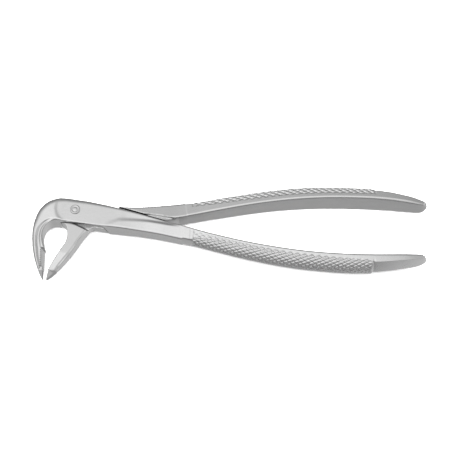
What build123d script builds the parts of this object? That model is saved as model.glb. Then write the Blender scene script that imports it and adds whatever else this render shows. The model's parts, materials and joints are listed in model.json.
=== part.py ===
from build123d import *
import math
import os

# Extraction forceps for lower roots. Millimetres.
# Origin: where the pivot axis meets the flat underside of the joint. +Z runs along the pivot
# towards the round rivet head, +X between the two handles towards their ends, and the beaks
# turn down towards -Y.

# ---- driving dimensions ----
joint_thickness = 8.8
parting_z = 5.0
parting_gap = 0.06
mid_z = joint_thickness / 2

pin_radius = 1.6
pin_clearance = 0.03
head_radius = 2.15
head_height = 0.6
head_edge = 0.3

# The plates of the lap joint turn in a round recess. Its shoulder is a cylinder on the beak
# side and a cone, wider at the underside, at the heel.
shoulder_radius = 7.9
shoulder_gap = 0.3
heel_radius_low = 16.3
heel_radius_high = 14.9
heel_gap = 0.8
heel_overrun = 2.0

# The joint's flat faces run from the arch of the beak to the crotch.
flat_from_x = -12.0
flat_to_x = 40.0
crotch_x = 43.3

beak_root_y = -5.0

# larger than the object in every direction
far = 200.0

# Each station is one cross-section: two points on opposite sides of it, its width along Z,
# and the corner radii at the first and the second point.
front_tip = [
    ((-10.45, -31.50), (-10.80, -31.35), 1.6, 0.10, 0.10),
    ((-10.70, -29.50), (-12.05, -29.40), 2.9, 0.30, 0.50),
    ((-10.95, -26.80), (-13.45, -26.60), 3.3, 0.40, 0.90),
]
front_pad = [
    ((-10.40, -26.90), (-13.30, -26.90), 4.6, 0.5, 1.1),
    ((-10.75, -22.30), (-15.15, -22.40), 5.4, 0.5, 1.4),
    ((-11.15, -17.80), (-16.60, -17.40), 6.2, 0.6, 1.6),
]
front_body = [
    ((-11.15, -17.80), (-16.60, -17.40), 6.2, 0.6, 1.6),
    ((-12.25, -14.70), (-17.20, -13.60), 6.8, 0.9, 1.7),
    ((-12.85, -11.00), (-17.50, -9.40), 7.2, 0.9, 1.7),
    ((-12.20, -8.10), (-17.25, -4.80), 7.6, 0.9, 1.8),
    ((-10.60, -6.20), (-15.95, 0.10), 8.1, 0.9, 2.0),
    ((-8.30, -5.15), (-13.00, 3.80), 8.6, 0.9, 2.1),
    ((-5.00, -4.90), (-8.20, 5.90), 8.9, 0.9, 2.1),
    ((1.00, -5.20), (1.20, 5.50), 9.0, 0.9, 2.1),
    ((9.50, -6.30), (10.20, 4.15), 9.0, 0.9, 1.9),
    ((17.40, -7.10), (18.60, 2.40), 9.0, 0.9, 1.5),
    ((24.50, -7.60), (26.30, 0.60), 9.0, 0.9, 1.0),
    ((33.60, -8.50), (35.50, -1.60), 8.9, 0.9, 0.8),
    ((42.70, -9.85), (44.50, -3.70), 8.7, 1.0, 0.7),
    ((51.40, -11.50), (52.90, -5.75), 9.0, 1.4, 0.7),
    ((61.50, -13.40), (62.70, -8.00), 9.8, 2.2, 0.7),
    ((74.10, -15.70), (75.20, -10.35), 10.5, 2.8, 0.7),
    ((86.20, -17.50), (87.10, -12.05), 11.0, 3.2, 0.7),
    ((97.10, -18.60), (97.60, -13.10), 11.6, 3.4, 0.7),
    ((108.00, -19.25), (108.20, -13.60), 12.0, 3.5, 0.7),
    ((119.00, -19.40), (118.80, -13.60), 12.2, 3.5, 0.7),
    ((129.00, -18.80), (128.20, -13.15), 12.1, 3.3, 0.8),
    ((137.50, -17.30), (136.00, -12.50), 11.4, 2.8, 0.9),
    ((144.50, -15.30), (143.00, -11.80), 9.6, 2.0, 0.9),
    ((149.00, -13.50), (148.20, -11.75), 6.6, 0.8, 0.7),
    ((151.00, -12.50), (150.80, -12.10), 3.0, 0.1, 0.1),
]
back_tip = [
    ((-9.20, -31.50), (-8.85, -31.30), 1.6, 0.10, 0.10),
    ((-8.95, -29.80), (-7.40, -30.10), 2.9, 0.30, 0.50),
    ((-8.60, -27.20), (-5.75, -28.30), 3.3, 0.40, 0.90),
]
back_pad = [
    ((-9.10, -27.10), (-6.20, -28.20), 4.6, 0.5, 1.1),
    ((-7.30, -22.60), (-3.00, -24.20), 5.4, 0.6, 1.4),
    ((-5.00, -18.00), (0.10, -19.30), 6.4, 0.8, 1.5),
]
back_beak = [
    ((-5.00, -18.00), (0.10, -19.30), 6.4, 0.8, 1.5),
    ((-3.00, -14.60), (2.60, -14.90), 7.2, 0.9, 1.5),
    ((-2.30, -11.20), (4.50, -11.30), 7.9, 0.9, 1.4),
    ((-2.90, -8.00), (6.60, -8.20), 8.5, 0.9, 1.2),
    ((-4.40, -4.80), (8.60, -4.80), 8.9, 0.9, 1.2),
]
back_body = [
    ((-8.00, 4.20), (-8.00, -5.20), 9.0, 1.5, 0.9),
    ((-2.00, 4.30), (-2.50, -5.40), 9.0, 1.5, 0.9),
    ((8.60, 4.10), (8.00, -6.10), 9.0, 1.5, 0.9),
    ((17.60, 3.10), (19.00, -6.60), 9.0, 1.3, 0.9),
    ((25.30, 3.30), (27.00, -3.85), 9.0, 1.0, 0.9),
    ((34.50, 4.40), (36.20, -2.25), 8.9, 0.8, 0.9),
    ((43.40, 5.90), (45.20, -0.70), 8.7, 1.0, 0.7),
    ((51.90, 7.30), (53.30, 1.30), 9.0, 1.4, 0.7),
    ((62.20, 9.70), (63.60, 3.90), 9.8, 2.2, 0.7),
    ((73.60, 12.40), (74.70, 6.60), 10.5, 2.8, 0.7),
    ((84.80, 14.85), (85.70, 8.85), 11.0, 3.2, 0.7),
    ((95.90, 16.75), (96.40, 10.50), 11.6, 3.4, 0.7),
    ((106.90, 17.90), (107.00, 11.60), 12.0, 3.5, 0.7),
    ((117.80, 18.30), (117.60, 12.20), 12.2, 3.5, 0.7),
    ((128.80, 18.15), (128.00, 12.40), 12.1, 3.3, 0.8),
    ((137.70, 17.30), (136.30, 12.20), 11.4, 2.8, 0.9),
    ((145.00, 15.50), (143.60, 11.80), 9.6, 2.0, 0.9),
    ((149.50, 13.60), (148.80, 11.90), 6.6, 0.8, 0.7),
    ((151.40, 12.70), (151.20, 12.20), 3.0, 0.1, 0.1),
]

# lower edge of the front plate, over the ledge of the back half
plate_edge = [(-7.0, -4.55), (0.0, -4.15), (6.0, -4.55), (13.2, -5.30), (17.0, -5.9)]
# shoulder of the front half below the parting plane, from the heel to the crotch
front_shoulder = [(12.0, -6.20), (crotch_x, -3.30)]
# lower edge of the back half below the parting plane, from the heel to the crotch
back_lower_edge = [(12.0, -6.00), (crotch_x, -1.10)]
# shoulder of the back half above the parting plane, along the top of the front arm
back_shoulder = [(15.0, 6.40), (18.4, 2.75), (30.0, 0.35), (crotch_x, -1.10)]
# ledge of the back half that the opening front plate sweeps over
ledge_edge = [(-9.0, -4.90), (-1.2, -4.50), (4.0, -6.80), (10.6, -9.95)]


def station_wire(station):
    """The rounded rectangle of one station, standing on the line between its two points."""
    first, second, width, first_radius, second_radius = station
    along = Vector(second[0] - first[0], second[1] - first[1], 0)
    length = along.length
    half = width / 2
    plane = Plane(origin=(first[0], first[1], mid_z), x_dir=along, z_dir=along.cross(Vector(0, 0, 1)))
    slack = 1 - math.sqrt(0.5)

    def corner(u, v, radius, start_u, start_v, end_u, end_v):
        """A quarter arc at the corner (u, v); the signs say where it starts and ends."""
        return ThreePointArc((u + start_u * radius, v + start_v * radius),
                             (u + (start_u + end_u) * slack * radius, v + (start_v + end_v) * slack * radius),
                             (u + end_u * radius, v + end_v * radius))

    a = min(first_radius, half - 0.05, length * 0.45)
    b = min(second_radius, half - 0.05, length * 0.45)
    edges = [
        Line((a, -half), (length - b, -half)),
        corner(length, -half, b, -1, 0, 0, 1),
        Line((length, b - half), (length, half - b)),
        corner(length, half, b, 0, -1, -1, 0),
        Line((length - b, half), (a, half)),
        corner(0, half, a, 1, 0, 0, -1),
        Line((0, half - a), (0, a - half)),
        corner(0, -half, a, 0, 1, 1, 0),
    ]
    return plane.from_local_coords(Wire(edges))


def bar(stations):
    """A smooth solid through a row of stations."""
    return Solid.make_loft([station_wire(s) for s in stations])


def slab(x_low, x_high, y_low, y_high, z_low, z_high):
    """A box given by its limits."""
    return Pos((x_low + x_high) / 2, (y_low + y_high) / 2, (z_low + z_high) / 2) * Box(
        x_high - x_low, y_high - y_low, z_high - z_low)


def prism(outline, z_low, z_high):
    """A straight-sided solid on a polygon."""
    return Pos(0, 0, z_low) * extrude(make_face(Polyline(*outline, close=True)), z_high - z_low)


def column(radius, z_low=-far, z_high=far):
    """A cylinder about the pivot."""
    return Pos(0, 0, (z_low + z_high) / 2) * Cylinder(radius, z_high - z_low)


def heel_cone(gap):
    """The round space inside the heel shoulder, smaller by the gap; its slope runs on past both faces."""
    slope = (heel_radius_low - heel_radius_high) / parting_z
    low = heel_radius_low - gap + slope * heel_overrun
    high = heel_radius_low - gap - slope * (joint_thickness + heel_overrun)
    return Pos(0, 0, mid_z) * Cone(low, high, joint_thickness + 2 * heel_overrun)


beak_side = slab(-far, 0, -far, far, -far, far)
heel_side = slab(0, far, -far, far, -far, far)
lower_layer = slab(-far, far, -far, far, -far, parting_z + parting_gap / 2)


def flat_joint(solid):
    """Trims the joint between its two flat faces."""
    zone = slab(flat_from_x, flat_to_x, -far, far, -far, far)
    flat_zone = slab(flat_from_x, flat_to_x, -far, far, 0, joint_thickness)
    return solid - (zone - flat_zone)


def make_front_half():
    """Outer beak, front plate and lower handle, with the recess that the back plate turns in."""
    solid = flat_joint(bar(front_body)) + bar(front_pad) + bar(front_tip)
    round_space = (column(shoulder_radius) & beak_side) + (heel_cone(0) & heel_side)
    above_shoulder = front_shoulder + [(crotch_x, far), (0, far), (0, front_shoulder[0][1])]
    recess = (round_space + prism(above_shoulder, -far, far)) & lower_layer
    below_plate = plate_edge + [(plate_edge[-1][0], -far), (plate_edge[0][0], -far)]
    ledge_space = round_space & prism(below_plate, -far, far)
    return solid - recess - ledge_space - column(pin_radius)


def make_back_half():
    """Inner beak, rear plate and upper handle, cut away where the front half lies over it."""
    plate_space = column(shoulder_radius - shoulder_gap) + heel_side
    beak_space = slab(-far, far, -far, beak_root_y, -far, far)
    solid = flat_joint((bar(back_body) & plate_space) + (bar(back_beak) & (plate_space + beak_space)))
    solid = solid + bar(back_pad) + bar(back_tip)
    over = ledge_edge + [(crotch_x, ledge_edge[-1][1])] + back_shoulder[::-1]
    over += [(back_shoulder[0][0], far), (ledge_edge[0][0], far)]
    below_edge = back_lower_edge + [(crotch_x, -far), (back_lower_edge[0][0], -far)]
    under = prism(below_edge, -far, far) - heel_cone(heel_gap)
    over_layer = prism(over, parting_z - parting_gap / 2, far)
    return solid - over_layer - under - column(pin_radius + pin_clearance)


def make_pivot_rivet():
    """A pin with a low round head and a flush tail."""
    pin = column(pin_radius, 0, joint_thickness)
    head = column(head_radius, joint_thickness, joint_thickness + head_height)
    head = fillet(head.edges().sort_by(Axis.Z)[-1], head_edge)
    return pin + head


parts = {
    "front_half": make_front_half(),
    "back_half": make_back_half(),
    "pivot_rivet": make_pivot_rivet(),
}
os.makedirs("parts", exist_ok=True)
for name, solid in parts.items():
    print(name, type(solid).__name__, len(solid.solids()), solid.is_valid, round(solid.volume, 1))
    export_step(solid, "parts/" + name + ".step")
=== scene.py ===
"""Extraction forceps for lower roots: the visual model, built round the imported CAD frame."""
import json
import math

import bmesh
import bpy
import numpy as np
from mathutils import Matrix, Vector

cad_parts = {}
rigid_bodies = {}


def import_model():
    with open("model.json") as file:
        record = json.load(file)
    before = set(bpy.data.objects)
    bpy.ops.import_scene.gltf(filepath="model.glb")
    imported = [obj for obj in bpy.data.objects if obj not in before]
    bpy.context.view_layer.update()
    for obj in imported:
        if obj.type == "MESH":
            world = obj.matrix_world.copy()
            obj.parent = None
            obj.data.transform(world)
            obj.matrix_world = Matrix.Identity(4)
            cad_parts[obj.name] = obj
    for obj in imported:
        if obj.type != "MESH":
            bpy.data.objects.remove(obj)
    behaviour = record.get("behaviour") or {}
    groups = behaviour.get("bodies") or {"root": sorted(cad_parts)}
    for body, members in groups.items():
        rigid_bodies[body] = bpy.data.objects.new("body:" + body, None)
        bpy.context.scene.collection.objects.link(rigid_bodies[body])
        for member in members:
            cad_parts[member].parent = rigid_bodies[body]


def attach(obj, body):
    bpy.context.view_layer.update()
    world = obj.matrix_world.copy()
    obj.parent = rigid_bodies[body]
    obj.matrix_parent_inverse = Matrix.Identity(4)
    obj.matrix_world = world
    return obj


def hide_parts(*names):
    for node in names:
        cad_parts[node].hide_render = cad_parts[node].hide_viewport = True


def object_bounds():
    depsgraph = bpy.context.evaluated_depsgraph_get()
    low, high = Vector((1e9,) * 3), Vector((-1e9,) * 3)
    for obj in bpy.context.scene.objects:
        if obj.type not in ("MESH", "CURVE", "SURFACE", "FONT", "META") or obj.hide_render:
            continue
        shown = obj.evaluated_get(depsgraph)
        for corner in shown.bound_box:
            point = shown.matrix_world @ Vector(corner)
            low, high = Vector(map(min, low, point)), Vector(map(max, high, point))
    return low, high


for leftover in list(bpy.data.objects):
    bpy.data.objects.remove(leftover)
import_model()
cad_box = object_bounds()

# ---- driving dimensions, in millimetres, in the frame of the CAD model ----
mm = 0.001
joint_thickness = 8.8
parting_z = 5.0
parting_gap = 0.06
mid_z = joint_thickness / 2

pin_radius = 1.6
head_radius = 2.15
head_height = 0.6

shoulder_radius = 7.9
shoulder_gap = 0.3
heel_radius_low = 16.3
heel_radius_high = 14.9
heel_gap = 0.7
heel_gap_low = 0.08

crotch_x = 43.3
beak_root_y = -5.0
far = 200.0

# Each station is one cross-section: two points on opposite sides of it, its width along Z,
# and the corner radii at the first and the second point.
front_tip = [
    ((-10.45, -31.50), (-10.80, -31.35), 1.6, 0.10, 0.10),
    ((-10.70, -29.50), (-12.05, -29.40), 2.9, 0.30, 0.50),
    ((-10.95, -26.80), (-13.45, -26.60), 3.3, 0.40, 0.90),
]
front_pad = [
    ((-10.40, -26.90), (-13.30, -26.90), 4.6, 0.5, 1.1),
    ((-10.75, -22.30), (-15.15, -22.40), 5.4, 0.5, 1.4),
    ((-11.15, -17.80), (-16.60, -17.40), 6.2, 0.6, 1.6),
]
front_body = [
    ((-11.15, -17.80), (-16.60, -17.40), 6.2, 0.6, 1.6),
    ((-12.25, -14.70), (-17.20, -13.60), 6.8, 0.9, 1.7),
    ((-12.85, -11.00), (-17.50, -9.40), 7.2, 0.9, 1.7),
    ((-12.20, -8.10), (-17.25, -4.80), 7.6, 0.9, 2.6),
    ((-10.60, -6.20), (-15.95, 0.10), 8.1, 0.9, 3.2),
    ((-8.30, -5.15), (-13.00, 3.80), 8.6, 0.9, 3.4),
    ((-5.00, -5.35), (-8.20, 5.90), 8.9, 0.5, 3.2),
    ((1.00, -5.90), (1.20, 5.50), 9.0, 0.35, 2.6),
    ((9.50, -6.60), (10.20, 4.15), 9.0, 0.35, 2.1),
    ((17.40, -7.10), (18.60, 2.40), 9.0, 0.9, 1.5),
    ((24.50, -7.60), (26.30, 0.60), 9.0, 0.9, 1.0),
    ((33.60, -8.50), (35.50, -1.60), 8.9, 0.9, 0.8),
    ((42.70, -9.85), (44.50, -3.70), 8.7, 1.0, 0.7),
    ((51.40, -11.50), (52.90, -5.75), 9.0, 1.4, 0.7),
    ((61.50, -13.80), (62.70, -7.90), 9.8, 2.2, 0.7),
    ((74.10, -16.30), (75.20, -10.25), 10.5, 2.8, 0.7),
    ((86.20, -18.20), (87.10, -11.90), 11.0, 3.2, 0.7),
    ((97.10, -19.30), (97.60, -12.95), 11.6, 3.4, 0.7),
    ((108.00, -19.80), (108.20, -13.45), 12.0, 3.5, 0.7),
    ((119.00, -19.80), (118.80, -13.45), 12.2, 3.5, 0.7),
    ((129.00, -18.95), (128.20, -13.00), 12.1, 3.3, 0.8),
    ((137.50, -17.50), (136.00, -12.30), 11.4, 2.8, 0.9),
    ((144.70, -15.60), (143.20, -11.60), 10.0, 2.0, 0.9),
    ((148.90, -14.20), (147.90, -11.30), 8.4, 0.8, 0.7),
    ((150.90, -13.40), (150.40, -11.50), 7.4, 0.8, 0.7),
]
back_tip = [
    ((-9.20, -31.50), (-8.85, -31.30), 1.6, 0.10, 0.10),
    ((-8.95, -29.80), (-7.40, -30.10), 2.9, 0.30, 0.50),
    ((-8.60, -27.20), (-5.75, -28.30), 3.3, 0.40, 0.90),
]
back_pad = [
    ((-9.10, -27.10), (-6.15, -28.25), 4.6, 0.5, 1.1),
    ((-7.30, -22.60), (-2.95, -24.15), 5.4, 0.6, 1.4),
    ((-5.00, -18.00), (0.15, -19.25), 6.4, 0.8, 1.8),
]
back_beak = [
    ((-5.00, -18.00), (0.15, -19.25), 6.4, 0.8, 1.8),
    ((-3.00, -14.60), (2.55, -14.90), 7.2, 0.9, 2.1),
    ((-2.30, -11.20), (4.30, -11.25), 7.9, 0.9, 2.1),
    ((-2.90, -8.00), (6.00, -8.15), 8.5, 0.9, 1.8),
    ((-4.40, -4.80), (7.60, -4.80), 8.9, 0.9, 1.2),
]
back_body = [
    ((-8.00, 4.20), (-8.00, -5.20), 9.0, 1.5, 0.9),
    ((-2.00, 4.30), (-2.50, -5.40), 9.0, 1.5, 0.9),
    ((8.60, 4.10), (8.00, -6.10), 9.0, 1.5, 0.9),
    ((17.60, 3.10), (19.00, -6.60), 9.0, 1.3, 0.9),
    ((25.30, 3.30), (27.00, -3.85), 9.0, 1.0, 0.9),
    ((34.50, 4.40), (36.20, -2.25), 8.9, 0.8, 0.9),
    ((43.40, 5.90), (45.20, -0.70), 8.7, 1.0, 0.7),
    ((51.90, 7.70), (53.30, 1.30), 9.0, 1.4, 0.7),
    ((62.20, 10.30), (63.60, 3.90), 9.8, 2.2, 0.7),
    ((73.60, 13.00), (74.70, 6.60), 10.5, 2.8, 0.7),
    ((84.80, 15.30), (85.70, 8.85), 11.0, 3.2, 0.7),
    ((95.90, 17.00), (96.40, 10.50), 11.6, 3.4, 0.7),
    ((106.90, 17.90), (107.00, 11.60), 12.0, 3.5, 0.7),
    ((117.80, 18.30), (117.60, 12.20), 12.2, 3.5, 0.7),
    ((128.80, 18.15), (128.00, 12.40), 12.1, 3.3, 0.8),
    ((137.70, 17.30), (136.30, 12.20), 11.4, 2.8, 0.9),
    ((145.20, 15.70), (143.80, 11.70), 10.0, 2.0, 0.9),
    ((149.40, 14.30), (148.40, 11.50), 8.4, 0.8, 0.7),
    ((151.30, 13.50), (150.80, 11.70), 7.4, 0.8, 0.7),
]

# The head and the handle of a half share the stations near the seam between them.
front_head_part = front_body[:15]
front_handle_part = front_body[12:]
back_head_part = back_body[:10]
back_handle_part = back_body[6:]

plate_edge = [(-7.0, -4.55), (0.0, -4.15), (6.0, -4.55), (13.2, -5.30), (17.0, -5.9)]
front_shoulder = [(12.0, -6.20), (crotch_x, -3.30)]
back_lower_edge = [(12.0, -6.00), (crotch_x, -1.10)]
wedge_line = [(29.2, 0.20), (31.0, 0.25), (crotch_x, -1.10)]
wedge_height = 7.5
wedge_slope = 0.12
arm_line = [(15.0, 6.40), (18.4, 2.75), (26.0, 0.95), (35.4, -1.25), (crotch_x, -3.10)]
ledge_edge = [(-9.0, -4.90), (-1.2, -4.50), (4.0, -6.80), (10.6, -9.95)]
ledge_slope = 0.14
ledge_slope_reach = 4
wall_width = 0.06
wall_rise = 4.2
root_step = 2.0
root_step_width = 1
beak_rise = 0.03
beak_fillet = 1.6
heel_step_z = (1.0, 1.4)

# ---- edges and steps between the bars of a head ----
bar_step = 0.7
bar_least_steps = 8
bar_corner_share = 0.8
bar_end_radius = 0.08
pad_overlap = 1.0
sharp_edge = 0.05
soft_edge = 0.1
ledge_edge_radius = 0.15
plate_edge_radius = 0.12
plate_undercut = 1.9

# ---- surface detail ----
tooth_pitch = 0.93
tooth_depth = 0.5
channel_depth = 0.25
pad_lean = 1.3

facet_slope = 0.14
arm_width = 6.4
arm_tilt_x = (13, 32)

# Pairs of (position, value): positions run along -Y on the beaks and along X on the arms. A share runs
# across a piece, from 0 at the first points of its stations to 1 at the second.
hollow_centre = [(4.0, 0.06), (6.5, 0.16), (9.0, 0.30), (13.0, 0.42), (20.0, 0.50), (27.0, 0.52)]
hollow_half_width = [(4.0, 0.12), (9.0, 0.26), (20.0, 0.32), (27.0, 0.28)]
hollow_depth = 0.62
hollow_start_y = (3.5, 6.0)
hollow_start_x = (-8.5, -10.5)
flat_centre = (-0.7, 0.9)
ridge_start = 6.3
ridge_top = 8.7
ridge_height = 0.34
ridge_power = 1.6
ridge_fade = 5.0
facet_edge = [(13, 0.05), (19, 0.40), (32, 0.68), (45, 0.86)]
facet_edge_half_width = 0.13
facet_drop = [(12, 0), (20, 0.3), (28, 0.5), (40, 0.9), (46, 0)]
arm_swell = [(12, 0), (20, 1), (38, 0.8), (46, 0)]
arm_swell_height = 0.3

inner_bevel_share = 0.17
inner_bevel_slope = 4.5
inner_bevel_start = (6.0, 9.0)
beak_crease = [(6.0, -6.6), (4.7, -9.2), (3.0, -12.2), (1.3, -15.7), (-0.8, -19.6), (-3.6, -23.9)]
crease_start = (7.0, 10.0)
crease_end = (26.8, 25.0)
crease_depth = 0.45
crease_half_width = 0.55
bevel_slope = 0.35
bevel_offset = 0.4
bevel_reach = 4

# ---- handles ----
seam_x = 46.8
seam_gap = 0.35
seam_probes = 2000
ring_pitch = 0.31
end_round = 1.9
end_rings = 8
end_shrink = 0.04
inner_edge_extra = 0.2
inner_edge_extra_x = (48, 56)
inner_edge_limit = 0.6
inner_edge_length_limit = 0.25
bow_limit = 0.72
round_until_x = (128.4, 127.4)
peaked_power = 1.15

# How far the outer side of a handle bulges, and how wide the smooth strip beside its knurling is, along X.
front_bow = [(47, 1.0), (50, 1.2), (52, 2.2), (62, 3.4), (86, 4.0), (108, 4.0), (126, 3.6), (129, 2.3),
             (140, 1.9), (151, 0.8)]
back_bow = [(47, 1.0), (60, 1.2), (90, 1.5), (120, 1.5), (140, 1.4), (151, 0.8)]
front_strip = [(50, 0.2), (97, 0.8), (110, 1.0), (125, 1.7)]
back_strip = [(50, 3.6), (60, 2.6), (75, 1.8), (125, 1.5)]

# Points over half a section: round the outer side, along the top, round the inner edge, down the inner face.
front_columns = (38, 8, 5, 6)
back_columns = (26, 18, 5, 6)

knurl_pitch = 3.05
knurl_width = 1.72
knurl_depth = 0.42
knurl_groove = 0.31
knurl_power = 1.2
knurl_from_x = 51.2
knurl_to_x = 127.2
knurl_fade = 0.3
strip_fade = (-0.15, 0.25)
collars_x = (knurl_from_x - 1.0, knurl_to_x + 0.9)
collar_depth = 0.16
collar_half_width = 0.45
collar_fade = 0.3

# ---- matte places: the tips of the beaks and the inner faces of the handles, also coloured darker; on the inner faces that darkening is painted shade ----
matte_tip_y = (-27.2, -27.8)
# How matte the inner faces are; the same value sets how much painted shade darkens their colour.
inner_matte_and_shade = 0.5
matte_inner_x = (44, 45)
matte_inner_reach = 0.35

# ---- rivet: its face as (radius, depth below the highest ring) ----
rivet_face = [(0.0, 0.02), (0.45, 0.03), (0.75, 0.07), (0.95, 0.16), (1.12, 0.22), (1.30, 0.18),
              (1.45, 0.06), (1.62, 0.0), (1.85, 0.04), (2.03, 0.16), (2.12, 0.32)]
rivet_rim = 0.05
rivet_clearance = 0.02
rivet_seat = 0.03
rivet_chamfer_height = 0.15
rivet_chamfer_inset = 0.15
rivet_columns = 96

# ---- grids of the heads: stretches of each axis as (from, to, step) ----
front_stretches = ([(-18.6, -8.0, 0.17), (-8.0, 49.5, 0.29)],
                   [(-32.2, -17.0, 0.13), (-17.0, 7.2, 0.24)],
                   [(-0.6, 9.9, 0.23)])
back_stretches = ([(-10.2, 4.0, 0.19), (4.0, 49.5, 0.26)],
                  [(-32.2, -17.0, 0.13), (-17.0, 8.2, 0.24)],
                  [(-0.6, 9.9, 0.23)])
settle_rounds = 6
settle_fill = -0.001

# ---- materials: the height of the brushing is in metres ----
satin_grey = (0.62, 0.62, 0.62)
satin_roughness = (0.20, 0.28)
polished_grey = (0.60, 0.60, 0.60)
polished_roughness = (0.24, 0.32)
brush_stretch = (120, 900, 900)
brush_scale = 6.0
brush_detail = 4.0
brush_tint = 0.94
brush_relief = 0.06
brush_height = 0.00005
cloud_scale = 160.0
cloud_detail = 3.0
noise_range = (0.3, 0.7)
matte_roughness = 0.4
# The colour of matte places is multiplied by this grey: darker beak tips, and painted shade on the inner
# faces of the handles.
matte_and_shade_grey = (0.8, 0.8, 0.8)

# ---- studio: places and sizes in metres; the camera's target, sensor and lens in millimetres ----
camera_target = (66.198, -3.035, 4.4)
camera_azimuth = math.radians(3.6)
camera_elevation = math.radians(66)
camera_distance = 0.5
camera_sensor = 36
camera_lens = 91.57
camera_clip = 0.01
floor_size = 4
floor_gap = 0.00005
floor_grey = (0.92, 0.92, 0.92)
floor_roughness = 0.9
lamp_size = 1.6
lamp_power = 60
lamp_place = (0.066, 0, 1.2)

# The surround, by direction: brightness of the sky by how much it faces the light, and the ranges
# (from, to, value at from, value at to) of what is laid over it.
light_direction = (-0.35, -0.15, 0.92)
sky_stops = [(0.0, 0.34), (0.2, 0.37), (0.4, 0.45), (0.55, 0.60), (0.66, 0.77), (0.79, 1.02), (0.88, 1.25),
             (1.0, 1.4)]
ground_by_height = (-0.05, -0.55, 0.45, 1.0)
ground_by_depth = (-1, 1, 0.58, 0.6)
horizon = (-0.06, 0.02, 0, 1)
near_side_lean = 0.35
near_side_shade = (-0.35, 0.0, 0.4, 1.0)
right_glow_sky = (0.5, 0.95, 0.0, 0.65)
right_glow_ground = (0.2, 0.5, 0.0, 0.2)


# ---- smooth rows of sections ----
def rows_of(stations):
    """One row of numbers per station: both points, the width and the two radii."""
    return np.array([[*first, *second, width, r, q] for first, second, width, r, q in stations])


def smooth_line(stations):
    """The row of numbers at any distance along the stations, and the whole distance."""
    table = rows_of(stations)
    middle = (table[:, 0:2] + table[:, 2:4]) / 2
    knots = np.concatenate([[0], np.cumsum(np.linalg.norm(np.diff(middle, axis=0), axis=1))])
    slope = np.gradient(table, knots, axis=0)

    def at(distance):
        distance = np.atleast_1d(distance)
        k = np.clip(np.searchsorted(knots, distance, side="right") - 1, 0, len(knots) - 2)
        span = (knots[k + 1] - knots[k])[:, None]
        u = (distance - knots[k])[:, None] / span
        rise = u * u * (3 - 2 * u)
        return (table[k] * (1 - rise) + table[k + 1] * rise
                + slope[k] * span * u * (1 - u) ** 2 - slope[k + 1] * span * u * u * (1 - u))

    return at, knots[-1]


# ---- values that change along the part ----
def follow(pairs, position):
    """A value given at several positions, straight between them."""
    positions, values = zip(*pairs)
    return np.interp(position, positions, values)


def smooth_step(low, high, value):
    """0 below low, 1 above high, smooth between."""
    u = np.clip((value - low) / (high - low), 0, 1)
    return u * u * (3 - 2 * u)


def bump(centre, half_width, value):
    """1 at the centre, 0 beyond the half width."""
    u = np.clip(np.abs(value - centre) / half_width, 0, 1)
    return (1 - u * u) ** 2


# ---- fields: distances on a grid, negative inside ----
def overlap(p, q, radius):
    """Where two regions overlap, with a rounded edge."""
    u = np.maximum(p + radius, 0)
    v = np.maximum(q + radius, 0)
    return np.minimum(np.maximum(p, q), -radius) + np.sqrt(u * u + v * v)


def join(p, q, radius):
    """Two regions together, with a filleted corner."""
    return -overlap(-p, -q, radius)


def minus(p, q, radius):
    """One region without another, with a rounded edge."""
    return overlap(p, -q, radius)


def curve_field(curve, x, y):
    """Distance to a curve, positive on its left, and the place of the nearest point along it."""
    start = curve[0] + (curve[0] - curve[1]) / np.linalg.norm(curve[0] - curve[1]) * 9
    end = curve[-1] + (curve[-1] - curve[-2]) / np.linalg.norm(curve[-1] - curve[-2]) * 9
    chain = np.vstack([start, curve, end])
    best = np.full(x.shape, far)
    side = np.ones(x.shape)
    place = np.zeros(x.shape)
    for k in range(len(chain) - 1):
        ex, ey = chain[k + 1] - chain[k]
        px, py = x - chain[k][0], y - chain[k][1]
        t = np.clip((px * ex + py * ey) / (ex * ex + ey * ey), 0, 1)
        gap = np.hypot(px - t * ex, py - t * ey)
        near = gap < best
        best = np.where(near, gap, best)
        side = np.where(near, np.where(ex * py - ey * px >= 0, 1, -1), side)
        place = np.where(near, k + t - 1, place)
    return best * side, np.clip(place, 0, len(curve) - 1)


def polygon_field(points, x, y):
    """Distance to a polygon, negative inside."""
    best = np.full(x.shape, far)
    inside = np.zeros(x.shape, bool)
    for (ax, ay), (bx, by) in zip(points, points[1:] + points[:1]):
        ex, ey = bx - ax, by - ay
        px, py = x - ax, y - ay
        t = np.clip((px * ex + py * ey) / (ex * ex + ey * ey), 0, 1)
        best = np.minimum(best, np.hypot(px - t * ex, py - t * ey))
        spans = (ay > y) != (by > y)
        if ay != by:
            inside ^= spans & (x < ax + (y - ay) * ex / ey)
    return np.where(inside, -best, best)


def end_cap(rows, end, inner_end, x, y):
    """Distance beyond the flat end of a bar."""
    middle = (rows[end, 0:2] + rows[end, 2:4]) / 2
    inner = (rows[inner_end, 0:2] + rows[inner_end, 2:4]) / 2
    across = rows[end, 2:4] - rows[end, 0:2]
    normal = np.array([across[1], -across[0]]) / np.linalg.norm(across)
    if normal @ (middle - inner) < 0:
        normal = -normal
    return (x - middle[0]) * normal[0] + (y - middle[1]) * normal[1]


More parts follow.
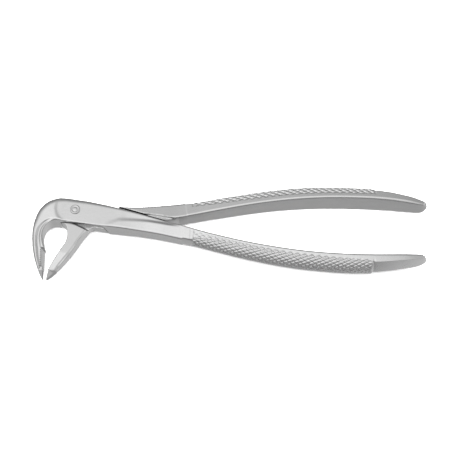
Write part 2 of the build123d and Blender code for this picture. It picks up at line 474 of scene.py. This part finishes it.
def bar_field(stations, turn, grid, relief=None, inset=None, thickest=far):
    """The field of a smooth bar through stations, capped at its first end, and the cap of its last end;
    turn is 1 where the first points are on its right and -1 where they are on its left."""
    x, y, z = grid
    at, length = smooth_line(stations)
    steps = max(bar_least_steps, int(length / bar_step))
    rows = at(np.linspace(0, length, steps))
    rows[:, 4] = np.minimum(rows[:, 4], thickest)
    first, place_first = curve_field(rows[:, 0:2], x, y)
    second, place_second = curve_field(rows[:, 2:4], x, y)
    first, second = turn * first, -turn * second
    places = np.arange(steps)
    share = np.clip(first / np.maximum(first + second, 0.1), 0, 1)
    width = (np.interp(place_first, places, rows[:, 4]) * (1 - share)
             + np.interp(place_second, places, rows[:, 4]) * share)
    first_radius = np.interp(place_first, places, rows[:, 5])
    second_radius = np.interp(place_second, places, rows[:, 6])
    half = width / 2 + (0 if relief is None else relief(x, y, share))
    flat = np.abs(z - mid_z) - half
    low = -first
    if inset is not None:
        low = low + inset(place_first / (steps - 1) * length, (z - mid_z) / half)
    field = np.maximum(overlap(low, flat, np.minimum(first_radius, half * bar_corner_share)),
                       overlap(-second, flat, np.minimum(second_radius, half * bar_corner_share)))
    return overlap(field, end_cap(rows, 0, 1, x, y), bar_end_radius), end_cap(rows, -1, -2, x, y)


def heel_radius(z):
    """Radius of the conical shoulder at the heel of the joint."""
    return heel_radius_low + (heel_radius_high - heel_radius_low) * z / parting_z


def teeth(distance, across):
    """How far a gripping face is cut back: a hollow channel with cross teeth."""
    wave = 0.5 - 0.5 * np.cos(2 * math.pi * distance / tooth_pitch)
    hollow = channel_depth * np.clip(1 - across * across, 0, 1)
    return hollow + tooth_depth * wave


def leaning_teeth(distance, across):
    """A gripping face that also leans back towards +Z."""
    return teeth(distance, across) + pad_lean * np.clip((1 + across) / 2, 0, 1)


# ---- the two heads ----
def arm_tilt(x, share):
    """How far an arm's faces fall towards its outer side."""
    return -facet_slope * arm_width * (1 - share) * smooth_step(*arm_tilt_x, x)


def front_relief(x, y, share):
    """The hollow along the front beak, the ridge round the flat of the plate and the facet of the arm."""
    centre = follow(hollow_centre, -y)
    half = follow(hollow_half_width, -y)
    on_beak = smooth_step(*hollow_start_y, -y) * smooth_step(*hollow_start_x, x)
    hollow = -hollow_depth * bump(centre, half, share) * on_beak
    away = np.hypot(x - flat_centre[0], y - flat_centre[1])
    ridge = ridge_height * smooth_step(ridge_start, ridge_top, away) ** ridge_power
    fade = ridge_height * np.exp(-(away - ridge_top) / ridge_fade)
    ridge = np.where(away > ridge_top, fade, ridge)
    edge = follow(facet_edge, x)
    inside_edge = smooth_step(edge - facet_edge_half_width, edge + facet_edge_half_width, share)
    facet = -inside_edge * follow(facet_drop, x)
    swell = arm_swell_height * follow(arm_swell, x)
    return hollow + np.where(x < 0, ridge, 0) + facet + swell + arm_tilt(x, share)


def back_relief(x, y, share):
    """The bevel along the inner side of the back beak."""
    return -inner_bevel_slope * np.clip(inner_bevel_share - share, 0, 1) * smooth_step(*inner_bevel_start, -y)


def back_arm_relief(x, y, share):
    """The tilt of the upper arm."""
    return arm_tilt(x, share)


def beak_top(y):
    """Height of the top of the back beak."""
    table = rows_of(back_pad[::-1] + back_beak[1:])[:, [1, 4]]
    order = np.argsort(table[:, 0])
    return mid_z + np.interp(y, table[order, 0], table[order, 1]) / 2


def beak_groove(x, y):
    """How far the crease and the bevel outside it lower the top of the back beak."""
    beside, _ = curve_field(np.array(beak_crease), x, y)
    along = smooth_step(*crease_start, -y) * smooth_step(*crease_end, -y)
    bevel = bevel_slope * np.clip(beside - bevel_offset, 0, bevel_reach)
    return along * (crease_depth * bump(0, crease_half_width, beside) + bevel)


def under_line(line):
    """The polygon below a line."""
    return line + [(line[-1][0], -far), (line[0][0], -far)]


def with_pad_and_tip(field, pad, tip):
    """A beak together with its pad and its tip, each given as a field and the cap of its last end."""
    for piece, cap in (pad, tip):
        field = np.minimum(field, overlap(piece, cap - pad_overlap, sharp_edge))
    return field


def front_head(grid):
    """The field of the front half, from the beak to the start of the handle."""
    x, y, z = grid
    body, _ = bar_field(front_head_part, 1, grid, front_relief, thickest=joint_thickness)
    pad = bar_field(front_pad, 1, grid, front_relief, leaning_teeth)
    tip = bar_field(front_tip, 1, grid)
    field = with_pad_and_tip(body, pad, tip)
    around = np.hypot(x, y)
    round_space = np.minimum(around - shoulder_radius, np.maximum(-x, around - heel_radius(z)))
    above = polygon_field(front_shoulder + [(crotch_x, far), (0, far), (0, front_shoulder[0][1])], x, y)
    recess = np.maximum(np.minimum(round_space, above), z - (parting_z + parting_gap / 2))
    below = polygon_field(under_line(plate_edge), x, y)
    overhang = plate_undercut * np.clip((z - parting_z) / (joint_thickness - parting_z), 0, 1)
    field = minus(field, np.maximum(round_space, below + overhang), plate_edge_radius)
    field = minus(field, recess, sharp_edge)
    return minus(field, around - pin_radius, soft_edge)


def beyond_ledge(x, y):
    """Distance outside the edge of the ledge that the front plate lies on, negative on the ledge."""
    corner = (crotch_x, ledge_edge[-1][1])
    outline = ledge_edge + [corner] + arm_line[::-1] + [(arm_line[0][0], far), (ledge_edge[0][0], far)]
    return polygon_field(outline, x, y)


def back_top(x, y, beyond):
    """Height of the top of the back half: the ledge, the wall round it and the root of the beak."""
    ledge = parting_z - parting_gap / 2
    wall_top = ledge + np.clip(beyond / wall_width, 0, 1) * wall_rise
    fall = ledge_slope * np.clip(beak_root_y - y, 0, ledge_slope_reach) * (beyond < 0)
    root_top = (ledge - fall + root_step * smooth_step(0, root_step_width, beyond)
                + beak_rise * np.maximum(beyond, 0))
    root_top = np.minimum(root_top, beak_top(y)) - beak_groove(x, y)
    return np.where(y < beak_root_y / 2, root_top, wall_top)


def back_head(grid):
    """The field of the back half, from the beak to the start of the handle."""
    x, y, z = grid
    around = np.hypot(x, y)
    plate_space = np.minimum(around - (shoulder_radius - shoulder_gap), -x)
    body, _ = bar_field(back_head_part, -1, grid, back_arm_relief, thickest=joint_thickness)
    beak, beak_cap = bar_field(back_beak, -1, grid, back_relief, thickest=joint_thickness)
    pad = bar_field(back_pad, -1, grid, back_relief, teeth)
    tip = bar_field(back_tip, -1, grid)
    body = np.maximum(body, plate_space)
    beak = np.maximum(beak, np.maximum(np.minimum(plate_space, y - beak_root_y), beak_cap))
    field = with_pad_and_tip(join(body, beak, beak_fillet), pad, tip)
    beyond = beyond_ledge(x, y)
    field = minus(field, back_top(x, y, beyond) - z, ledge_edge_radius)
    wedge_top = wedge_height - wedge_slope * np.maximum(beyond, 0)
    wedge = np.maximum(polygon_field(under_line(wedge_line), x, y), wedge_top - z)
    field = minus(field, wedge, soft_edge)
    below = polygon_field(under_line(back_lower_edge), x, y)
    heel_room = heel_gap_low + (heel_gap - heel_gap_low) * smooth_step(*heel_step_z, z)
    field = minus(field, np.maximum(below, heel_radius(z) - heel_room - around), sharp_edge)
    return minus(field, around - pin_radius, soft_edge)


# ---- meshes from fields ----
def grid_lines(stretches):
    """Grid positions over stretches given as (from, to, step)."""
    lines = [np.arange(start, end - step / 2, step) for start, end, step in stretches]
    return np.concatenate(lines + [[stretches[-1][1]]])


def cells_beside(index, axis, cells):
    """The four cells round each grid edge, in turn: their numbers, and which of them are on the grid."""
    u, v = (axis + 1) % 3, (axis + 2) % 3
    for du, dv in ((1, 1), (0, 1), (0, 0), (1, 0)):
        cell = index.copy()
        cell[:, u] -= du
        cell[:, v] -= dv
        good = np.all((cell >= 0) & (cell < np.array(cells)), axis=1)
        kept = np.where(good[:, None], cell, 0)
        yield np.where(good, np.ravel_multi_index(tuple(kept.T), cells), 0), good


def skin(field, lines):
    """The surface where a field changes sign: a point per crossed cell, a face per crossed grid edge."""
    cells = tuple(n - 1 for n in field.shape)
    total = np.zeros((math.prod(cells), 3))
    count = np.zeros(math.prod(cells))
    quads = []
    for axis in range(3):
        low = [slice(None)] * 3
        high = [slice(None)] * 3
        low[axis] = slice(None, -1)
        high[axis] = slice(1, None)
        a, b = field[tuple(low)], field[tuple(high)]
        index = np.stack(np.nonzero((a < 0) != (b < 0)), 1)
        a = a[tuple(index.T)]
        b = b[tuple(index.T)]
        point = np.stack([lines[k][index[:, k]] for k in range(3)], 1)
        step = lines[axis][index[:, axis] + 1] - lines[axis][index[:, axis]]
        point[:, axis] += a / (a - b) * step
        corners = []
        inside_grid = np.ones(len(index), bool)
        for number, good in cells_beside(index, axis, cells):
            np.add.at(total, number[good], point[good])
            np.add.at(count, number[good], 1)
            corners.append(number)
            inside_grid &= good
        ring = np.stack(corners, 1)
        ring[a >= 0] = ring[a >= 0][:, ::-1]
        quads.append(ring[inside_grid])
    used, quads = np.unique(np.vstack(quads), return_inverse=True)
    points = total[used] / count[used][:, None]
    return points, quads.reshape(-1, 4)


def settle(field):
    """Fill grid faces whose inside corners only touch diagonally, so that the skin never meets itself."""
    parts = (slice(None, -1), slice(1, None))
    for _ in range(settle_rounds):
        crossed_faces = 0
        for axis in range(3):
            u, v = (axis + 1) % 3, (axis + 2) % 3
            corners = []
            for i, j in ((0, 0), (1, 1), (0, 1), (1, 0)):
                cut = [slice(None)] * 3
                cut[u], cut[v] = parts[i], parts[j]
                corners.append(field[tuple(cut)])
            a, b, c, d = [corner < 0 for corner in corners]
            crossed = (a == b) & (c == d) & (a != c)
            crossed_faces += int(crossed.sum())
            for corner in corners:
                corner[crossed & (corner >= 0)] = settle_fill
        if not crossed_faces:
            break
    return field


def head_mesh(make_field, lines):
    """Points and faces of the head of one half."""
    x = lines[0][:, None, None]
    y = lines[1][None, :, None]
    z = lines[2][None, None, :]
    x, y = np.broadcast_arrays(x, y)
    shape = tuple(len(n) for n in lines)
    field = np.array(np.broadcast_to(make_field((x, y, z)), shape))
    return skin(settle(field), lines)


# ---- handles ----
def mirrored(half_loop, sign):
    """A whole loop from its upper half; its first and last points are on the middle plane."""
    return np.hstack([half_loop, sign * half_loop[:, -2:0:-1]])


def section_points(rows, columns, bow):
    """Points round every section, from the middle of its bowed outer side over +Z and back under -Z:
    the place along the line between its two points, the place along Z, the distance round from the
    start, the distance round to the end of the top, and how matte the metal is."""
    side_count, top_count, edge_count, face_count = columns
    x = rows[:, 0:1]
    length = np.linalg.norm(rows[:, 2:4] - rows[:, 0:2], axis=1)[:, None]
    half = rows[:, 4:5] / 2
    bow = np.minimum(follow(bow, x), length * bow_limit)
    roundness = smooth_step(*round_until_x, x)
    b = rows[:, 6:7] + inner_edge_extra * smooth_step(*inner_edge_extra_x, x)
    b = np.minimum(b, np.minimum(half * inner_edge_limit, length * inner_edge_length_limit))
    up = np.linspace(0, 1, side_count, endpoint=False)[None, :]
    side = half * (1 + 0.5 * (bow / half) ** 2)
    top = length - bow - b
    over = np.linspace(0, 1, top_count, endpoint=False)[None, :]
    angle = np.linspace(0, 1, edge_count, endpoint=False)[None, :] * math.pi / 2
    down = np.linspace(1, 0, face_count)[None, :]
    round_u = 1 - np.cos(math.pi / 2 * up)
    outer_u = bow * (roundness * round_u + (1 - roundness) * up ** peaked_power)
    outer_v = half * (roundness * np.sin(math.pi / 2 * up) + (1 - roundness) * up)
    u = np.hstack([outer_u, bow + top * over, length - b + b * np.sin(angle), length + 0 * down])
    v = np.hstack([outer_v, half + 0 * over * top, half - b + b * np.cos(angle), down * (half - b)])
    d = np.hstack([side * up, side + top * over, side + top + angle * b,
                   side + top + b * math.pi / 2 + (half - b) * (1 - down)])
    v = v * (1 - facet_slope * np.maximum(length - b - u, 0) / half)
    # The inner face is matte; the same value darkens its colour as painted shade.
    matte = np.hstack([0 * up, 0 * over, 0 * angle, inner_matte_and_shade + 0 * down]) + 0 * half
    return mirrored(u, 1), mirrored(v, -1), mirrored(d, -1), side + top, mirrored(matte, 1)


def ring_places(start, length):
    """Distances of the rings along a handle, the last ones over its rounded end, and their sizes."""
    last = length - end_round
    distance = np.linspace(start, last, int((last - start) / ring_pitch))
    turn = np.linspace(0, math.pi / 2, end_rings + 1)[1:]
    size = np.concatenate([np.ones(len(distance)), np.maximum(np.cos(turn), end_shrink)])
    return np.concatenate([distance, last + end_round * np.sin(turn)]), size[:, None]


def handle_rows(stations):
    """The distance along a handle and the row of numbers of each of its rings."""
    at, length = smooth_line(stations)
    probe = np.linspace(0, length, seam_probes)
    start = np.interp(seam_x, at(probe)[:, 0], probe)
    distance, size = ring_places(start, length)
    rows = at(distance)
    middle = (rows[:, 0:2] + rows[:, 2:4]) / 2
    rows[:, 0:2] = middle + (rows[:, 0:2] - middle) * size
    rows[:, 2:4] = middle + (rows[:, 2:4] - middle) * size
    rows[:, 4:7] *= size
    return distance[:, None], rows


def outward_normals(points):
    """Directions at right angles to a tube of rings, away from its middle."""
    along = np.gradient(points, axis=0)
    around = np.roll(points, -1, axis=1) - np.roll(points, 1, axis=1)
    normal = np.cross(around, along)
    normal /= np.maximum(np.linalg.norm(normal, axis=2), 1e-9)[:, :, None]
    centre = points.mean(axis=1, keepdims=True)
    if np.mean(np.sum(normal * (points - centre), axis=2)) < 0:
        normal = -normal
    return normal


def grip_depth(x, s, d, from_edge, margin):
    """How deep the knurling and the collars at its ends are cut: s runs along the handle, d round it,
    and margin is the width of the smooth strip inside the edge of the top."""
    on_grip = (smooth_step(margin + strip_fade[0], margin + strip_fade[1], from_edge)
               * smooth_step(knurl_from_x, knurl_from_x + knurl_fade, x)
               * smooth_step(knurl_to_x, knurl_to_x - knurl_fade, x))
    spacing = 1 / math.hypot(1 / knurl_pitch, 1 / knurl_width)
    cut = np.zeros_like(x)
    for lean in (-1, 1):
        phase = s / knurl_pitch + lean * d / knurl_width
        off = np.abs(phase - np.round(phase)) * spacing
        cut = np.maximum(cut, np.clip(1 - off / knurl_groove, 0, 1) ** knurl_power)
    depth = knurl_depth * cut * on_grip
    round_collar = smooth_step(margin - collar_fade, margin + collar_fade, from_edge)
    for collar in collars_x:
        depth += collar_depth * bump(collar, collar_half_width, x) * round_collar
    return depth


def handle_grid(stations, columns, strip, bow):
    """Points of a handle as rings, cut with knurling and collars, and how matte each point is."""
    s, rows = handle_rows(stations)
    u, v, d, grip, matte = section_points(rows, columns, bow)
    across = rows[:, 2:4] - rows[:, 0:2]
    across /= np.linalg.norm(across, axis=1)[:, None]
    x = rows[:, 0:1] + u * across[:, 0:1]
    y = rows[:, 1:2] + u * across[:, 1:2]
    points = np.stack([x, y, mid_z + v], 2)
    depth = grip_depth(x, s, d, grip - np.abs(d), follow(strip, x))
    return points - outward_normals(points) * depth[:, :, None], matte


def sheet_faces(rings, columns):
    """Quads between neighbouring rings."""
    i, j = np.meshgrid(np.arange(rings - 1), np.arange(columns), indexing="ij")
    k = (j + 1) % columns
    here, beyond = i * columns, (i + 1) * columns
    return np.stack([here + j, here + k, beyond + k, beyond + j], 2).reshape(-1, 4)


def loop_angles(points, centre, across):
    """The angle of each point of a loop round its centre."""
    side = (points[:, :2] - centre[:2]) @ across
    return np.arctan2(points[:, 2] - centre[2], side)


def stitch(first, second, first_angles, second_angles):
    """Triangles between two loops of indices that run the same way round."""
    a = np.argsort(first_angles)
    b = np.argsort(second_angles)
    first, fa = np.array(first)[a], first_angles[a]
    second, sa = np.array(second)[b], second_angles[b]
    faces = []
    i = j = 0
    while i < len(first) or j < len(second):
        next_first = fa[(i + 1) % len(first)] + (2 * math.pi if i + 1 >= len(first) else 0)
        next_second = sa[(j + 1) % len(second)] + (2 * math.pi if j + 1 >= len(second) else 0)
        here_first, here_second = first[i % len(first)], second[j % len(second)]
        if j >= len(second) or (i < len(first) and next_first <= next_second):
            faces.append((here_first, first[(i + 1) % len(first)], here_second))
            i += 1
        else:
            faces.append((here_first, second[(j + 1) % len(second)], here_second))
            j += 1
    return faces


def trim(mesh, through, forward):
    """Cut a mesh off along an upright plane and give the numbers of the points on the cut."""
    bm = bmesh.new()
    bm.from_mesh(mesh)
    bmesh.ops.bisect_plane(bm, geom=bm.verts[:] + bm.edges[:] + bm.faces[:], dist=1e-5,
                           plane_co=(*through, 0), plane_no=(*forward, 0), clear_outer=True)
    bm.verts.index_update()
    rim = sorted({v.index for e in bm.edges if e.is_boundary for v in e.verts})
    bm.to_mesh(mesh)
    bm.free()
    return rim


def head_matte_and_shade(points, stations):
    """How matte the head is, which also darkens its colour: its tip, and its inner side where the handle
    begins, where the darkening is painted shade.
    """
    table = rows_of(stations)
    off_inner = np.abs(points[:, 1] - np.interp(points[:, 0], table[:, 2], table[:, 3]))
    inner = inner_matte_and_shade * smooth_step(*matte_inner_x, points[:, 0]) * (off_inner < matte_inner_reach)
    return smooth_step(*matte_tip_y, points[:, 1]) + inner


def face_outwards(mesh):
    """Turn every face of a closed mesh outwards."""
    bm = bmesh.new()
    bm.from_mesh(mesh)
    bmesh.ops.recalc_face_normals(bm, faces=bm.faces[:])
    bm.to_mesh(mesh)
    bm.free()


def place_piece(name, mesh):
    """A smooth-shaded piece in the scene."""
    mesh.polygons.foreach_set("use_smooth", [True] * len(mesh.polygons))
    piece = bpy.data.objects.new(name, mesh)
    bpy.context.scene.collection.objects.link(piece)
    return piece


def make_half(name, head_field, stretches, stations, columns, strip, bow):
    """One half as a single closed mesh: the head from its field, stitched to the handle."""
    points, faces = head_mesh(head_field, [grid_lines(axis) for axis in stretches])
    grid, matte = handle_grid(stations, columns, strip, bow)
    rings, around = grid.shape[:2]
    ring = grid[0]
    centre = ring.mean(axis=0)
    across = ring[around // 2][:2] - ring[0][:2]
    across /= np.linalg.norm(across)
    forward = np.array([across[1], -across[0]])
    if forward[0] < 0:
        forward = -forward
    mesh = bpy.data.meshes.new(name)
    mesh.from_pydata(points.tolist(), [], faces.tolist())
    rim = trim(mesh, centre[:2] - forward * seam_gap, forward)
    head_points = np.array([v.co for v in mesh.vertices])
    head_faces = [list(p.vertices) for p in mesh.polygons]
    base = len(head_points)
    last = base + (rings - 1) * around
    tip = base + rings * around
    quads = (sheet_faces(rings, around) + base).tolist()
    cap = [(last + j, last + (j + 1) % around, tip) for j in range(around)]
    seam = stitch(rim, np.arange(around) + base,
                  loop_angles(head_points[rim], centre, across), loop_angles(ring, centre, across))
    all_points = np.vstack([head_points, grid.reshape(-1, 3), grid[-1].mean(axis=0)[None]])
    mesh.clear_geometry()
    mesh.from_pydata((all_points * mm).tolist(), [], head_faces + quads + cap + seam)
    # How matte each point is; the same value darkens the colour, as painted shade on the inner faces of the
    # handles.
    matte_and_shade_values = np.concatenate([head_matte_and_shade(head_points, stations), matte.ravel(), [0]])
    mesh.attributes.new("matte", "FLOAT", "POINT").data.foreach_set("value", matte_and_shade_values.astype(np.float32))
    face_outwards(mesh)
    return place_piece(name, mesh)


# ---- rivet ----
def turned_mesh(name, profile, columns):
    """A closed mesh turned round Z; the profile runs from the axis at the top to the axis at z = 0."""
    points = [(0.0, 0.0, profile[0][1] * mm)]
    for radius, height in profile[1:-1]:
        for k in range(columns):
            turn = 2 * math.pi * k / columns
            points.append((radius * math.cos(turn) * mm, radius * math.sin(turn) * mm, height * mm))
    points.append((0.0, 0.0, 0.0))
    faces = [(0, 1 + k, 1 + (k + 1) % columns) for k in range(columns)]
    for ring in range(len(profile) - 3):
        a, b = 1 + ring * columns, 1 + (ring + 1) * columns
        faces += [(a + k, b + k, b + (k + 1) % columns, a + (k + 1) % columns) for k in range(columns)]
    last = 1 + (len(profile) - 3) * columns
    faces += [(last + (k + 1) % columns, last + k, len(points) - 1) for k in range(columns)]
    mesh = bpy.data.meshes.new(name)
    mesh.from_pydata(points, [], faces)
    return mesh


def make_rivet():
    """A turned pin with a low head: a bevelled rim, a shallow ring and a raised centre."""
    top = joint_thickness + head_height
    shank = pin_radius - rivet_clearance
    profile = [(radius, top - depth) for radius, depth in rivet_face]
    profile += [(head_radius, joint_thickness + rivet_rim),
                (head_radius, joint_thickness - rivet_clearance),
                (shank, joint_thickness - rivet_seat),
                (shank, rivet_chamfer_height),
                (pin_radius - rivet_chamfer_inset, rivet_clearance),
                (0.0, 0.0)]
    return place_piece("rivet_head", turned_mesh("rivet_head", profile, rivet_columns))


# ---- nodes ----
def remap(tree, source, limits):
    """A value carried from one range to another; limits are (from, to, value at from, value at to)."""
    node = tree.nodes.new("ShaderNodeMapRange")
    for socket, limit in zip(("From Min", "From Max", "To Min", "To Max"), limits):
        node.inputs[socket].default_value = limit
    tree.links.new(source, node.inputs["Value"])
    return node.outputs["Result"]


def calculate(tree, operation, *values):
    """A sum on values that are numbers or the outputs of other nodes."""
    node = tree.nodes.new("ShaderNodeMath")
    node.operation = operation
    for socket, value in zip(node.inputs, values):
        if isinstance(value, float):
            socket.default_value = value
        else:
            tree.links.new(value, socket)
    return node.outputs["Value"]


def ramp(tree, source, stops, blend):
    """A colour for a value, through stops given as (position, colour)."""
    node = tree.nodes.new("ShaderNodeValToRGB")
    node.color_ramp.interpolation = blend
    while len(node.color_ramp.elements) < len(stops):
        node.color_ramp.elements.new(0.5)
    for element, (position, colour) in zip(node.color_ramp.elements, stops):
        element.position = position
        element.color = (*colour, 1)
    tree.links.new(source, node.inputs["Fac"])
    return node.outputs["Color"]


def noise(tree, vector, scale, detail):
    """Smooth noise over the object."""
    node = tree.nodes.new("ShaderNodeTexNoise")
    node.inputs["Scale"].default_value = scale
    node.inputs["Detail"].default_value = detail
    tree.links.new(vector, node.inputs["Vector"])
    return node.outputs["Fac"]


# ---- materials ----
def steel(name, colour, roughness_low, roughness_high):
    """Satin stainless steel: fine brushing, a slightly uneven polish, and rougher and darker where it is
    matte; the darkening of the inner faces of the handles is painted shade.
    """
    material = bpy.data.materials.new(name)
    material.use_nodes = True
    tree = material.node_tree
    shader = tree.nodes["Principled BSDF"]
    shader.inputs["Metallic"].default_value = 1.0
    place = tree.nodes.new("ShaderNodeTexCoord").outputs["Object"]
    stretch = tree.nodes.new("ShaderNodeMapping")
    stretch.inputs["Scale"].default_value = brush_stretch
    tree.links.new(place, stretch.inputs["Vector"])
    grain = noise(tree, stretch.outputs["Vector"], brush_scale, brush_detail)
    cloud = noise(tree, place, cloud_scale, cloud_detail)
    polish = remap(tree, cloud, (*noise_range, roughness_low, roughness_high))
    matte = tree.nodes.new("ShaderNodeAttribute")
    matte.attribute_name = "matte"
    rough = calculate(tree, "MULTIPLY_ADD", matte.outputs["Fac"], matte_roughness, polish)
    tree.links.new(rough, shader.inputs["Roughness"])
    dark = [channel * brush_tint for channel in colour]
    tint = ramp(tree, grain, [(noise_range[0], dark), (noise_range[1], colour)], "LINEAR")
    # Matte places are coloured darker: the beak tips, and the inner faces of the handles, where the darkening
    # is painted shade.
    matte_and_shade_mix = tree.nodes.new("ShaderNodeMix")
    matte_and_shade_mix.data_type = "RGBA"
    matte_and_shade_mix.blend_type = "MULTIPLY"
    matte_and_shade_mix.inputs[7].default_value = (*matte_and_shade_grey, 1)
    tree.links.new(matte.outputs["Fac"], matte_and_shade_mix.inputs[0])
    tree.links.new(tint, matte_and_shade_mix.inputs[6])
    tree.links.new(matte_and_shade_mix.outputs[2], shader.inputs["Base Color"])
    relief = tree.nodes.new("ShaderNodeBump")
    relief.inputs["Strength"].default_value = brush_relief
    relief.inputs["Distance"].default_value = brush_height
    tree.links.new(grain, relief.inputs["Height"])
    tree.links.new(relief.outputs["Normal"], shader.inputs["Normal"])
    return material


# ---- studio ----
def make_camera():
    """The camera, looking steeply down from the front."""
    level = math.cos(camera_elevation)
    back = Vector((math.sin(camera_azimuth) * level, -math.cos(camera_azimuth) * level,
                   math.sin(camera_elevation)))
    camera = bpy.data.objects.new("camera", bpy.data.cameras.new("camera"))
    camera.data.sensor_width = camera_sensor
    camera.data.lens = camera_lens
    camera.data.clip_start = camera_clip
    camera.location = Vector(camera_target) * mm + back * camera_distance
    camera.rotation_mode = "QUATERNION"
    camera.rotation_quaternion = (-back).to_track_quat("-Z", "Y")
    bpy.context.scene.collection.objects.link(camera)
    bpy.context.scene.camera = camera


def make_floor():
    """A pale floor just under the part."""
    bpy.ops.mesh.primitive_plane_add(size=floor_size, location=(0, 0, cad_box[0].z - floor_gap))
    floor = bpy.context.object
    floor.name = "floor"
    paper = bpy.data.materials.new("paper")
    paper.use_nodes = True
    shader = paper.node_tree.nodes["Principled BSDF"]
    shader.inputs["Base Color"].default_value = (*floor_grey, 1)
    shader.inputs["Roughness"].default_value = floor_roughness
    floor.data.materials.append(paper)
    floor.visible_glossy = False


def make_surround():
    """A soft surround: brightest towards the light, darker from below and from the near side, and
    with a glow from the right."""
    world = bpy.data.worlds.new("surround")
    bpy.context.scene.world = world
    world.use_nodes = True
    tree = world.node_tree
    place = tree.nodes.new("ShaderNodeTexCoord").outputs["Generated"]
    split = tree.nodes.new("ShaderNodeSeparateXYZ")
    tree.links.new(place, split.inputs["Vector"])
    right, deep, high = [split.outputs[axis] for axis in "XYZ"]
    toward_light = tree.nodes.new("ShaderNodeVectorMath")
    toward_light.operation = "DOT_PRODUCT"
    toward_light.inputs[1].default_value = Vector(light_direction).normalized()
    tree.links.new(place, toward_light.inputs[0])
    greys = [(position, (value, value, value)) for position, value in sky_stops]
    sky = ramp(tree, toward_light.outputs["Value"], greys, "EASE")
    lean = calculate(tree, "MULTIPLY_ADD", deep, near_side_lean, high)
    sky = calculate(tree, "MULTIPLY", sky, remap(tree, lean, near_side_shade))
    sky = calculate(tree, "ADD", sky, remap(tree, right, right_glow_sky))
    ground = calculate(tree, "MULTIPLY", remap(tree, high, ground_by_height),
                       remap(tree, deep, ground_by_depth))
    ground = calculate(tree, "ADD", ground, remap(tree, right, right_glow_ground))
    both = tree.nodes.new("ShaderNodeMix")
    both.data_type = "FLOAT"
    tree.links.new(remap(tree, high, horizon), both.inputs["Factor"])
    tree.links.new(ground, both.inputs["A"])
    tree.links.new(sky, both.inputs["B"])
    tree.links.new(both.outputs["Result"], tree.nodes["Background"].inputs["Color"])


def make_lamp():
    """A soft overhead light."""
    lamp = bpy.data.lights.new("overhead", "AREA")
    lamp.shape = "DISK"
    lamp.size = lamp_size
    lamp.energy = lamp_power
    overhead = bpy.data.objects.new("overhead", lamp)
    overhead.location = lamp_place
    overhead.visible_glossy = False
    bpy.context.scene.collection.objects.link(overhead)


make_camera()
make_floor()
make_surround()
make_lamp()
bpy.context.scene.view_settings.view_transform = "Standard"

front_half = make_half("front_half_steel", front_head, front_stretches, front_handle_part,
                       front_columns, front_strip, front_bow)
back_half = make_half("back_half_steel", back_head, back_stretches, back_handle_part,
                      back_columns, back_strip, back_bow)
rivet = make_rivet()

satin = steel("satin", satin_grey, *satin_roughness)
polished = steel("polished", polished_grey, *polished_roughness)
for piece, material, slot in ((front_half, satin, "satin_steel"), (back_half, satin, "satin_steel"),
                              (rivet, polished, "rivet_steel")):
    piece.data.materials.append(material)
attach(front_half, "front")
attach(rivet, "front")
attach(back_half, "back")
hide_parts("front_half")
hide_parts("back_half")
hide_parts("pivot_rivet")
